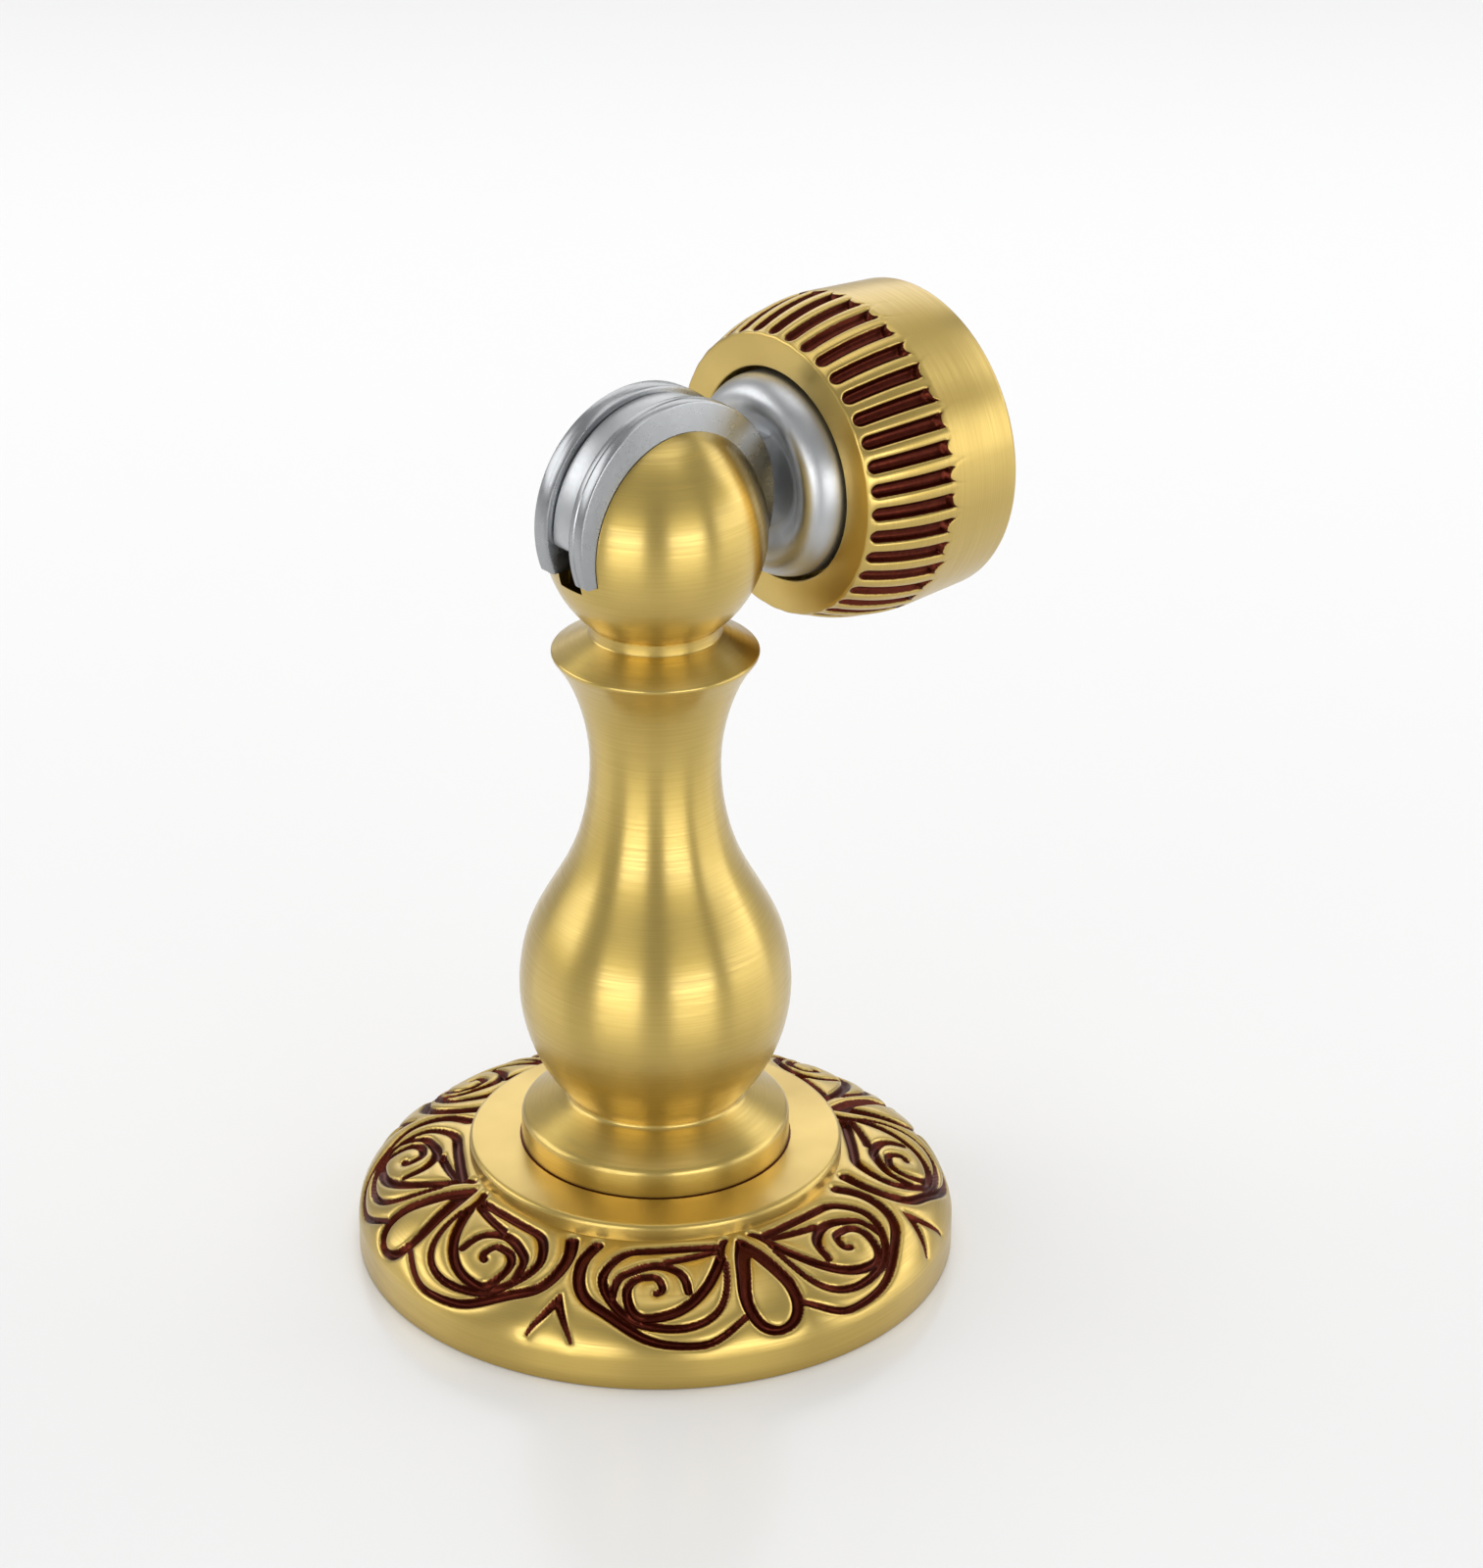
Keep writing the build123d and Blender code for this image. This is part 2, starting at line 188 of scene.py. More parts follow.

# %% [markdown]
# Antiqued brass
#
# The rosette and the cup were dipped in a dark red-brown patina and then rubbed bright again, so that
# the brown stays only where the cloth can't reach: in the carving and in the flutes. The model stores
# how deep each vertex lies in an attribute, and on the rosette that attribute also paints a thin ring of
# shade on the plate round the pillar's foot, where the gap between them lies in shade. The material reads
# it, breaks its edge up a little with noise, and goes from lacquered brass to brown there. The brown is a
# thin oxide that the metal still shines through, so it stays mostly metallic, but the lacquer over it is
# dull, so its coat ends.


# %% Antiqued brass
def antique_brass(name, axis, tones, brown):
    """Lacquered brass turned about an axis, brown where its depth attribute says so: patina, and on the
    rosette a ring of painted shade round the pillar's foot.
    """
    material, tree, output = new_material(name)
    place = add(tree, "ShaderNodeTexCoord").outputs["Object"]
    tone, polish, grooves, around = lathe_lines(tree, place, axis, tones, 0.04)
    specks = add(tree, "ShaderNodeTexNoise", {"Vector": place, "Scale": 2.2 / MM, "Detail": 3})
    depth = add(tree, "ShaderNodeAttribute", attribute_name="patina_and_shade")
    ragged = add(
        tree, "ShaderNodeMath",
        {0: specks.outputs["Fac"], 1: 0.4, 2: depth.outputs["Fac"]}, operation="MULTIPLY_ADD",
    )
    brown_amount = add(
        tree, "ShaderNodeMapRange",
        {"Value": ragged.outputs[0], "From Min": 0.48, "From Max": 0.88}, interpolation_type="SMOOTHSTEP",
    )
    browns = add(
        tree, "ShaderNodeMix",
        {"Factor": specks.outputs["Fac"], "A": colour(brown[0]), "B": colour(brown[1])},
        data_type="RGBA",
    )
    surface = add(
        tree, "ShaderNodeMix",
        {"Factor": brown_amount.outputs[0], "A": tone, "B": browns.outputs["Result"]},
        data_type="RGBA",
    )
    bare = add(tree, "ShaderNodeMapRange", {"Value": brown_amount.outputs[0], "To Min": 1, "To Max": 0.85})
    lacquer = add(tree, "ShaderNodeMapRange", {"Value": brown_amount.outputs[0], "To Min": 0.7, "To Max": 0})
    shader = add(
        tree, "ShaderNodeBsdfPrincipled",
        {"Base Color": surface.outputs["Result"], "Metallic": bare.outputs[0],
         "Roughness": polish, "Normal": grooves, "Coat Weight": lacquer.outputs[0], "Coat Roughness": 0.26,
         "Anisotropic": 0.65, "Anisotropic Rotation": 0.25, "Tangent": around},
    )
    tree.links.new(shader.outputs[0], output.inputs[0])
    return material


rubbed_tones = ("#dec16c", "#cdad55")
rosette_brass = antique_brass("antiqued_rosette_brass", "Z", rubbed_tones, ("#3a0b06", "#66260f"))
cup_brass = antique_brass("antiqued_cup_brass", "X", rubbed_tones, ("#380a06", "#682812"))
print("made", rosette_brass.name, cup_brass.name)

# %% [markdown]
# Plated steel, plated zinc, magnet and rubber
#
# The swivel is a zinc casting with a dull nickel plate: smooth, grey, and a little wavy from tumbling.
# The cheek plates are stamped steel, zinc plated, with flat grey faces that are only faintly uneven. The
# inner pieces are plain steel, the magnet is nickel plated, and the ring round it is black rubber with a
# dry bloom. One function makes them all, from two tones, a fine grain and slow waves.


# %% Metals and rubber
def grained(name, tones, metallic, roughness, grain, waves):
    """A material of two tones with a fine grain and slow waves, each given as (steps per mm, height)."""
    material, tree, output = new_material(name)
    place = add(tree, "ShaderNodeTexCoord").outputs["Object"]
    fine = add(tree, "ShaderNodeTexNoise", {"Vector": place, "Scale": grain[0] / MM, "Detail": 4})
    slow = add(tree, "ShaderNodeTexNoise", {"Vector": place, "Scale": waves[0] / MM, "Detail": 1})
    tone = add(
        tree, "ShaderNodeMix",
        {"Factor": slow.outputs["Fac"], "A": colour(tones[0]), "B": colour(tones[1])},
        data_type="RGBA",
    )
    polish = add(
        tree, "ShaderNodeMapRange",
        {"Value": fine.outputs["Fac"], "From Min": 0.3, "From Max": 0.7,
         "To Min": roughness[0], "To Max": roughness[1]},
    )
    rolling = add(tree, "ShaderNodeBump", {"Height": slow.outputs["Fac"], "Distance": waves[1] * MM})
    pitted = add(
        tree, "ShaderNodeBump",
        {"Height": fine.outputs["Fac"], "Distance": grain[1] * MM, "Normal": rolling.outputs[0]},
    )
    shader = add(
        tree, "ShaderNodeBsdfPrincipled",
        {"Base Color": tone.outputs["Result"], "Metallic": metallic, "Roughness": polish.outputs[0],
         "Normal": pitted.outputs[0]},
    )
    tree.links.new(shader.outputs[0], output.inputs[0])
    return material


nickel_plate = grained(
    "dull_nickel_plate", ("#d2d4d6", "#c4c6c8"), 1, (0.36, 0.44), grain=(3, 0.003), waves=(0.3, 0.015),
)
zinc_plate = grained(
    "zinc_plated_steel", ("#b8babc", "#a8aaac"), 1, (0.26, 0.31), grain=(1.2, 0.0003), waves=(0.25, 0.012),
)
plain_steel = grained(
    "plain_steel", ("#9a9a98", "#858583"), 1, (0.3, 0.42), grain=(5, 0.005), waves=(0.3, 0.02),
)
magnet_plate = grained(
    "nickel_plated_magnet", ("#c3c0b9", "#b3b0a9"), 1, (0.2, 0.3), grain=(4, 0.003), waves=(0.2, 0.01),
)
black_rubber = grained(
    "black_rubber", ("#1b1b1b", "#242423"), 0, (0.6, 0.75), grain=(6, 0.01), waves=(0.3, 0.01),
)
print("made", nickel_plate.name, zinc_plate.name, plain_steel.name, magnet_plate.name, black_rubber.name)

# %% [markdown]
# Turning on the lathe
#
# Most pieces of the stop are turned, so they are made as on a lathe: an outline of a few points is spun
# once round an axis with the spin operator. Two helpers draw the curved parts of an outline: an arc
# through three points, and a smooth line through any number of points, which is a cubic spline that
# keeps its bend from one point to the next, so that the highlight runs over it without a kink.


# %% Outline helpers
def arc_through(start, middle, end, count):
    """Points along the circle through three points."""
    (ax, ay), (bx, by), (cx, cy) = start, middle, end
    a, b, c = ax * ax + ay * ay, bx * bx + by * by, cx * cx + cy * cy
    spread = 2 * (ax * (by - cy) + bx * (cy - ay) + cx * (ay - by))
    x = (a * (by - cy) + b * (cy - ay) + c * (ay - by)) / spread
    y = (a * (cx - bx) + b * (ax - cx) + c * (bx - ax)) / spread
    turns = np.unwrap([atan2(py - y, px - x) for px, py in (start, middle, end)])
    radius = hypot(ax - x, ay - y)
    return [(x + radius * cos(t), y + radius * sin(t)) for t in np.linspace(turns[0], turns[2], count)]


def smooth_line(knots, count):
    """A cubic spline through the knots."""
    knots = np.array(knots, float)
    gaps = np.linalg.norm(np.diff(knots, axis=0), axis=1)
    slopes = np.diff(knots, axis=0) / gaps[:, None]
    size = len(knots)
    matrix = np.eye(size)
    bends = np.zeros_like(knots)
    for row in range(1, size - 1):
        matrix[row, row - 1:row + 2] = gaps[row - 1], 2 * (gaps[row - 1] + gaps[row]), gaps[row]
        bends[row] = 6 * (slopes[row] - slopes[row - 1])
    bends = np.linalg.solve(matrix, bends)
    starts = np.concatenate([[0], np.cumsum(gaps)])
    places = np.linspace(0, starts[-1], count)
    span = np.clip(np.searchsorted(starts, places, side="right") - 1, 0, size - 2)
    gap = gaps[span][:, None]
    ahead = (starts[span + 1] - places)[:, None]
    past = (places - starts[span])[:, None]
    curve = (bends[span] * ahead**3 + bends[span + 1] * past**3) / (6 * gap)
    curve += (knots[span] / gap - bends[span] * gap / 6) * ahead
    curve += (knots[span + 1] / gap - bends[span + 1] * gap / 6) * past
    return [tuple(point) for point in curve]


def rounded(start, corner, end, count):
    """A curve from one line to the next that cuts the corner between them."""
    start, corner, end = np.array(start), np.array(corner), np.array(end)
    share = np.linspace(0, 1, count)[:, None]
    curve = (1 - share) ** 2 * start + 2 * share * (1 - share) * corner + share**2 * end
    return [tuple(point) for point in curve]


def length_along(line):
    """How far along a line each of its points lies."""
    return np.concatenate([[0], np.cumsum(np.linalg.norm(np.diff(line, axis=0), axis=1))])


def evenly(line, count):
    """Points at even steps along a line."""
    lengths = length_along(line)
    steps = np.linspace(0, lengths[-1], count)
    return list(zip(*[np.interp(steps, lengths, part) for part in np.array(line).T]))


print("arc check", [tuple(round(x, 2) for x in point) for point in arc_through((1, 0), (0, 1), (-1, 0), 3)])


# %% Spin, soften and finish
def spin_outline(outline, axis, steps):
    """Spins a closed outline of (distance from the axis, place along it) once round the axis."""
    bm = bmesh.new()
    centre = Vector((0, 0, 0)) if axis == UP else Vector((0, 0, PIVOT_Z))
    sideways = HEAD if axis == UP else UP
    points = [centre + sideways * distance + axis * along for distance, along in outline]
    verts = [bm.verts.new(point * MM) for point in points]
    for near, far in zip(verts, verts[1:] + verts[:1]):
        bm.edges.new((near, far))
    bmesh.ops.spin(
        bm, geom=bm.verts[:] + bm.edges[:], cent=centre * MM, axis=axis, dvec=(0, 0, 0),
        angle=2 * pi, steps=steps, use_merge=True,
    )
    return close_up(bm)


def close_up(bm):
    """Merges doubled points and turns all faces outwards."""
    bmesh.ops.remove_doubles(bm, verts=bm.verts, dist=0.0005 * MM)
    bmesh.ops.recalc_face_normals(bm, faces=bm.faces)
    return bm


def soften(bm, sharper_than, width):
    """Rounds every edge that is sharper than an angle."""
    edges = [edge for edge in bm.edges if edge.is_manifold and edge.calc_face_angle() > radians(sharper_than)]
    bmesh.ops.bevel(
        bm, geom=edges, offset=width * MM, affect="EDGES", segments=3, profile=0.5,
        material=-1, clamp_overlap=True,
    )
    return bm


def combine(body, tool, operation):
    """Cuts or joins one closed shape with another, and gives the result as a new bmesh."""
    pair = []
    for shape in (body, tool):
        mesh = bpy.data.meshes.new("shape")
        shape.to_mesh(mesh)
        shape.free()
        pair.append(bpy.data.objects.new("shape", mesh))
        bpy.context.scene.collection.objects.link(pair[-1])
    modifier = pair[0].modifiers.new("combine", "BOOLEAN")
    modifier.object = pair[1]
    modifier.operation = operation
    modifier.solver = "EXACT"
    bpy.context.view_layer.update()
    result = bmesh.new()
    result.from_object(pair[0], bpy.context.evaluated_depsgraph_get())
    for item in pair:
        bpy.data.meshes.remove(item.data)
    return close_up(result)


def finish_piece(bm, name, body, material, slot, *nodes, smooth_to=35):
    """Makes the bmesh a piece that rides on a body and stands for its solids."""
    mesh = bpy.data.meshes.new(name)
    bm.to_mesh(mesh)
    bm.free()
    mesh.materials.append(material)
    mesh.shade_smooth()
    mesh.set_sharp_from_angle(angle=radians(smooth_to))
    piece = bpy.data.objects.new(name, mesh)
    bpy.context.scene.collection.objects.link(piece)
    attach(piece, body)
    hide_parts(*nodes)
    mesh.calc_loop_triangles()
    print(name, len(mesh.loop_triangles), "triangles")
    return piece


trial = spin_outline([(9, 0), (10, 0), (10, 1), (9, 1)], UP, 32)
print("a square spun in 32 steps has", len(trial.faces), "faces")
trial.free()

# %% [markdown]
# Rosette
#
# The rosette is cast, and its ring is carved with four palmettes: a drop in the middle, and on each
# side a leaf that curls into a volute. It could be a flat texture, but the light has to roll over each
# leaf, so it is real relief. The ring is spun with close rows of vertices, and each vertex is then
# pressed in by its distance to the nearest groove, as a sculptor would do with a tool. The palmettes
# mirror each other, so every vertex is folded back to half of one palmette before it is measured.

# %% Rosette outline
ROSETTE_RADIUS = 29.5
ROSETTE_SIDE = 3.0
ROSETTE_HEIGHT = 11.4
PLATE_RADIUS = 18.4
PLATE_SIDE = 1.6
DOME_CENTRE = 16.0
SPIGOT_HOLE = 7.1
FOOT_RADIUS = 13.2
PLATE_EDGE = 0.6
HOLLOW = (15.0, 23.5, 4.6)
RING_ROWS = 88
RING_STEPS = 880

dome_reach = ROSETTE_RADIUS - DOME_CENTRE
dome_height = ROSETTE_HEIGHT - PLATE_SIDE - ROSETTE_SIDE
dome_line = [
    (DOME_CENTRE + dome_reach * cos(turn), ROSETTE_SIDE + dome_height * sin(turn))
    for turn in np.linspace(acos((PLATE_RADIUS - DOME_CENTRE) / dome_reach), 0, 600)
]
ring_line = evenly(dome_line, RING_ROWS)
plate_edge = rounded(
    (PLATE_RADIUS - PLATE_EDGE, ROSETTE_HEIGHT),
    (PLATE_RADIUS, ROSETTE_HEIGHT),
    (PLATE_RADIUS, ROSETTE_HEIGHT - PLATE_EDGE),
    7,
)
rosette_outline = ring_line + [
    (ROSETTE_RADIUS, 1.5),
    (ROSETTE_RADIUS, 0.3),
    (ROSETTE_RADIUS - 0.08, 0.08),
    (ROSETTE_RADIUS - 0.3, 0),
    (HOLLOW[1], 0),
    (HOLLOW[1], HOLLOW[2]),
    (HOLLOW[0], HOLLOW[2]),
    (HOLLOW[0], 0),
    (SPIGOT_HOLE, 0),
    (SPIGOT_HOLE, ROSETTE_HEIGHT),
    (FOOT_RADIUS - 0.1, ROSETTE_HEIGHT),
    (FOOT_RADIUS + 0.05, ROSETTE_HEIGHT),
    (FOOT_RADIUS + 0.3, ROSETTE_HEIGHT),
    *plate_edge,
]
print("rosette outline", len(rosette_outline), "points")

# %% Grooves of half a palmette
# Each groove is a line of (degrees from the drop's middle, share of the ring's width from the plate
# outwards), and its width in millimetres at the start, the middle and the end.
outer_sweep = [
    (6.6, 0.85), (12.9, 0.955), (19, 0.968), (27, 0.928), (36, 0.76),
    (41.9, 0.548), (43, 0.315), (41.3, 0.1),
]
inner_sweep = [
    (6.9, 0.341), (9.6, 0.666), (16.3, 0.861), (24.3, 0.868), (33.9, 0.684),
    (36.9, 0.438), (34.9, 0.25), (28.3, 0.12), (16.3, 0.1), (8, 0.12),
]
volute = [
    (7.6, 0.27), (12.9, 0.547), (19.6, 0.748), (25.6, 0.803), (30, 0.711), (30.8, 0.564),
    (28.9, 0.453), (26, 0.43), (23.4, 0.48), (23, 0.548), (24.3, 0.593),
]
eye_ring = [
    (33.8, 0.658), (33.4, 0.49), (30.9, 0.385), (24.8, 0.297), (20.4, 0.34),
    (17.7, 0.464), (17.3, 0.59),
]
leaf_line = [(21.5, 0.253), (16.3, 0.222), (9.2, 0.185)]
drop_edge = [
    (-0.8, 0.13), (2.1, 0.314), (4.3, 0.547), (5.3, 0.72), (5.0, 0.83),
    (3.9, 0.905), (2.1, 0.946), (-0.8, 0.96),
]
ribbon = [(7.3, 0.25), (5.9, 0.125), (4.2, 0.055)]
chevron = [(45.5, 0.70), (43.2, 0.85), (40.6, 0.975)]
grooves = [
    (outer_sweep, (0.5, 0.8, 1.15)),
    (inner_sweep, (0.5, 0.8, 0.9)),
    (volute, (0.9, 0.85, 0.6)),
    (eye_ring, (0.6, 0.9, 0.65)),
    (leaf_line, (0.75, 0.7, 0.6)),
    (drop_edge, (1.4, 1.15, 0.65)),
    (ribbon, (0.55, 0.6, 0.55)),
    (chevron, (0.75, 0.55, 0.2)),
]


def width_along(widths, count):
    """Widths along a groove, on the parabola through the three that are given."""
    return np.polyval(np.polyfit([0, 0.5, 1], widths, 2), np.linspace(0, 1, count))


print(len(grooves), "grooves in half a palmette")

# %% Carve the ring
PALMETTES = 4
PALMETTE_TURN = -14.5
GROOVE_SAMPLES = 110
CUT_SLOPE = 0.13
CUT_DEPTHS = (0.35, 0.9)
LEAF_ROUNDING = 0.4


def carving_at(angle, row_place, radius):
    """How far each point lies outside the nearest groove, that groove's width, and how crowded it is."""
    ring_width = ROSETTE_RADIUS - PLATE_RADIUS
    radii = np.array(ring_line)[:, 0]
    nearest = np.full(len(angle), 9.0)
    nearest_width = np.ones(len(angle))
    crowd = np.zeros(len(angle))
    for points, widths in grooves:
        centre = np.array(smooth_line([(a / 4, share * 3) for a, share in points], GROOVE_SAMPLES))
        along = np.interp(PLATE_RADIUS + centre[:, 1] / 3 * ring_width, radii, length_along(ring_line))
        wide = width_along(widths, GROOVE_SAMPLES)
        own = np.full(len(angle), 9.0)
        for turn, place, width in zip(np.radians(centre[:, 0] * 4), along, wide):
            outside = np.hypot((angle - turn) * radius, row_place - place) - width / 2
            closer = outside < nearest
            nearest = np.where(closer, outside, nearest)
            nearest_width = np.where(closer, width, nearest_width)
            own = np.minimum(own, outside)
        crowd += np.exp(-np.clip(own, 0, None) / 0.3)
    return nearest, nearest_width, crowd


def carve_ring(bm):
    """Presses the ring's vertices in along the grooves, keeps the depth as patina, and paints shade round the
    pillar's foot.
    """
    patina_and_shade = bm.verts.layers.float.new("patina_and_shade")
    radii, heights = np.array(ring_line).T
    bm.verts.ensure_lookup_table()
    places = np.array([vert.co for vert in bm.verts]) / MM
    radius = np.hypot(places[:, 0], places[:, 1])
    on_ring = np.abs(places[:, 2] - np.interp(radius, radii, heights)) < 0.01
    on_ring &= (radius > PLATE_RADIUS - 0.01) & (radius < ROSETTE_RADIUS - 0.01)
    chosen = np.nonzero(on_ring)[0]
    turn = np.degrees(np.arctan2(places[chosen, 1], places[chosen, 0])) - PALMETTE_TURN
    period = 360 / PALMETTES
    folded = np.abs((turn + period / 2) % period - period / 2)
    row_place = np.interp(radius[chosen], radii, length_along(ring_line))
    outside, width, crowd = carving_at(np.radians(folded), row_place, radius[chosen])
    away = np.clip(outside, 0, None)
    deepest = np.clip(1.1 * width, *CUT_DEPTHS)
    cut = 0.5 * (1 - np.tanh((outside + 0.05) / CUT_SLOPE))
    rounding = np.minimum(0.18 * np.exp(-away / LEAF_ROUNDING), deepest * 0.4)
    to_rim = length_along(ring_line)[-1] - row_place
    fade = np.clip(to_rim / 0.5, 0, 1) * np.clip(row_place / 0.4, 0, 1)
    sunk = fade * (deepest * cut + rounding * (1 - cut))
    brown_amount = 1.2 * cut + 0.6 * np.exp(-away / 0.16) + 0.3 * np.clip(crowd - 1, 0, 2) * (away < 0.6)
    brown_amount *= np.clip(row_place / 0.5, 0, 1)
    for index, depth, brown in zip(chosen, sunk, np.clip(brown_amount, 0, 1)):
        vert = bm.verts[index]
        vert.co -= vert.normal * (depth * MM)
        vert[patina_and_shade] = brown
    # Painted shade: the plate under and just round the pillar's foot is made fully brown, a thin dark ring
    # where the gap at the foot lies in shade.
    painted_foot_shade = (places[:, 2] > ROSETTE_HEIGHT - 0.01) & (radius < FOOT_RADIUS + 0.1)
    for index in np.nonzero(painted_foot_shade)[0]:
        bm.verts[index][patina_and_shade] = 1
    return len(chosen)


rosette = spin_outline(rosette_outline, UP, RING_STEPS)
rosette.normal_update()
print("carved", carve_ring(rosette), "vertices")
finish_piece(rosette, "carved_rosette", "base", rosette_brass, "carved_brass", "rosette", smooth_to=50)

# %% [markdown]
# Pillar
#
# The pillar is one turning, from its foot to the ball on top. Its outline is spun, its sharp corners
# are rounded a little, and then the slot of the hinge is cut across the ball with a Boolean: a block
# for the slot, and a disc for the pocket in which the tongue turns. The disc leaves the ball at a very
# flat angle, which would tear a ragged edge, so two small blocks square the pocket's ends off.

# %% Pillar outline
FOOT_TOP_Z = 14.25
CONE_RADIUS = 8.7
RING_RADIUS = 6.3
BALL_RADIUS = 10.6
BALL_HALF_HEIGHT = 11.3
COLLAR_TOP_Z = 65.55
SPIGOT_RADIUS = 7.0
FIXING_HOLE = (2.5, 22.0)
COLLAR = (9.9, 63.35)
BALL_BASE_Z = 66.7
BALL_Z = BALL_BASE_Z + BALL_HALF_HEIGHT * sqrt(1 - (RING_RADIUS / BALL_RADIUS) ** 2)
CONE_Z = 16.85

baluster = [
    (CONE_RADIUS, CONE_Z), (10.4, 19.05), (12.0, 22.05), (12.9, 25.05), (13.25, 28.05), (13.05, 31.05),
    (12.35, 34.05), (10.4, 38.05), (8.25, 42.05), (6.95, 46.05), (6.35, 50.05), (6.4, 54.05),
    (6.95, 57.05), (7.75, 59.55), (8.7, 61.55), COLLAR,
]
foot_corner = np.array((FOOT_RADIUS, FOOT_TOP_Z))
cone_foot = np.array((CONE_RADIUS, CONE_Z))
cone_along = (cone_foot - foot_corner) / np.linalg.norm(cone_foot - foot_corner)
belly_line = smooth_line(baluster, 80)
ball_start = atan2(-sqrt(1 - (RING_RADIUS / BALL_RADIUS) ** 2), RING_RADIUS / BALL_RADIUS)
ball_line = [
    (BALL_RADIUS * cos(turn), BALL_Z + BALL_HALF_HEIGHT * sin(turn))
    for turn in np.linspace(ball_start, pi / 2, 44)
]
pillar_outline = [
    (0, FIXING_HOLE[1]),
    (FIXING_HOLE[0], FIXING_HOLE[1]),
    (FIXING_HOLE[0], 0),
    (SPIGOT_RADIUS, 0),
    (SPIGOT_RADIUS, ROSETTE_HEIGHT),
    (FOOT_RADIUS, ROSETTE_HEIGHT),
    *rounded(foot_corner - (0, 0.5), foot_corner, foot_corner + 0.5 * cone_along, 7),
    *rounded(cone_foot - 0.7 * cone_along, cone_foot, belly_line[1], 7),
    *belly_line[2:],
    (COLLAR[0], COLLAR[1] + 0.3),
    (RING_RADIUS, COLLAR_TOP_Z),
    *ball_line[:-1],
    (0, BALL_Z + BALL_HALF_HEIGHT),
]
print("pillar outline", len(pillar_outline), "points, ball centre at", round(BALL_Z, 2), "mm")

# %% Slot of the hinge
SLOT_HALF_WIDTH = 3.65
SLOT_FLOOR = PIVOT_Z - 4.1
POCKET_RADIUS = 11.3
POCKET_HALF_WIDTH = 1.55
NOTCH_FLOOR = SLOT_FLOOR - 1.25
NOTCH_HALF_WIDTH = POCKET_HALF_WIDTH + 0.02
PIN_SEAT = (1.52, -8.0, 12.0)


def block(low, high):
    """A closed block between two corners."""
    bm = bmesh.new()
    bmesh.ops.create_cube(bm, size=1)
    bmesh.ops.scale(bm, vec=(Vector(high) - Vector(low)) * MM, verts=bm.verts)
    bmesh.ops.translate(bm, vec=(Vector(high) + Vector(low)) / 2 * MM, verts=bm.verts)
    return bm


def hinge_disc(radius, low_y, high_y, steps):
    """A plain disc about the hinge axis."""
    return spin_outline([(0, low_y), (radius, low_y), (radius, high_y), (0, high_y)], HINGE, steps)


pillar = soften(spin_outline(pillar_outline, UP, 192), 28, 0.14)
slot = block((-20, -SLOT_HALF_WIDTH, SLOT_FLOOR), (20, SLOT_HALF_WIDTH, PIVOT_Z + 20))
pillar = combine(pillar, slot, "DIFFERENCE")
pillar = combine(pillar, hinge_disc(POCKET_RADIUS, -POCKET_HALF_WIDTH, POCKET_HALF_WIDTH, 240), "DIFFERENCE")
for near, far in ((-20, -9), (9, 20)):
    notch = block((near, -NOTCH_HALF_WIDTH, NOTCH_FLOOR), (far, NOTCH_HALF_WIDTH, SLOT_FLOOR + 1))
    pillar = combine(pillar, notch, "DIFFERENCE")
pillar = combine(pillar, hinge_disc(*PIN_SEAT, 48), "DIFFERENCE")
finish_piece(pillar, "turned_pillar", "base", pillar_brass, "satin_brass", "pillar")

# %% [markdown]
# Cheek plates
#
# Two stamped steel plates stand in the slot and pinch the tongue. A punched edge has a bright band
# where the punch slid and a rough band where the sheet tore, with a fine line between them. The plate
# is spun from its edge section, with that line as a shallow step, and cut flat along its foot.

# %% Cheek plates
CHEEK_RADIUS = 11.65
CHEEK_INNER = 1.55
CHEEK_OUTER = 3.55
PIN_HOLE = 1.55


def cheek_plate(side):
    """One cheek plate: its section spun round the hinge axis, then cut along its foot."""
    tear = CHEEK_INNER + 0.85
    section = [
        (PIN_HOLE, CHEEK_INNER),
        (CHEEK_RADIUS - 0.3, CHEEK_INNER),
        (CHEEK_RADIUS - 0.1, CHEEK_INNER + 0.08),
        (CHEEK_RADIUS - 0.02, CHEEK_INNER + 0.25),
        (CHEEK_RADIUS, tear - 0.1),
        (CHEEK_RADIUS - 0.07, tear),
        (CHEEK_RADIUS - 0.05, tear + 0.15),
        (CHEEK_RADIUS - 0.04, CHEEK_OUTER - 0.2),
        (CHEEK_RADIUS - 0.1, CHEEK_OUTER - 0.06),
        (CHEEK_RADIUS - 0.25, CHEEK_OUTER),
        (PIN_HOLE, CHEEK_OUTER),
    ]
    plate = spin_outline([(radius, side * place) for radius, place in section], HINGE, 180)
    foot = Vector((0, 0, SLOT_FLOOR)) * MM
    cut = bmesh.ops.bisect_plane(
        plate, geom=plate.verts[:] + plate.edges[:] + plate.faces[:], plane_co=foot, plane_no=-UP,
        clear_outer=True,
    )
    open_edges = [item for item in cut["geom_cut"] if isinstance(item, bmesh.types.BMEdge)]
    bmesh.ops.holes_fill(plate, edges=open_edges, sides=0)
    return close_up(plate)


for side, hand in ((1, "left"), (-1, "right")):
    finish_piece(
        cheek_plate(side), f"stamped_cheek_{hand}", "base", zinc_plate, "zinc_plated_steel",
        f"cheek_plate_{hand}",
    )

# %% [markdown]
# Swivel
#
# The swivel is one casting: a flat tongue that turns between the plates, and a round drum with a dished
# face that the cup slides on. The tongue's outline is drawn point by point and extruded, the drum is
# spun, and a Boolean joins the two into one closed shape.

# %% Tongue
TONGUE_RADIUS = 11.1
TONGUE_HALF = 1.35
TONGUE_DROP = 1.2
WEB_HALF = 4.6
WEB_END = 14.3


def around_hinge(start, end, count):
    """Points of the tongue's round edge between two angles in degrees."""
    turns = np.radians(np.linspace(start, end, count))
    return [(TONGUE_RADIUS * cos(turn), TONGUE_RADIUS * sin(turn)) for turn in turns]


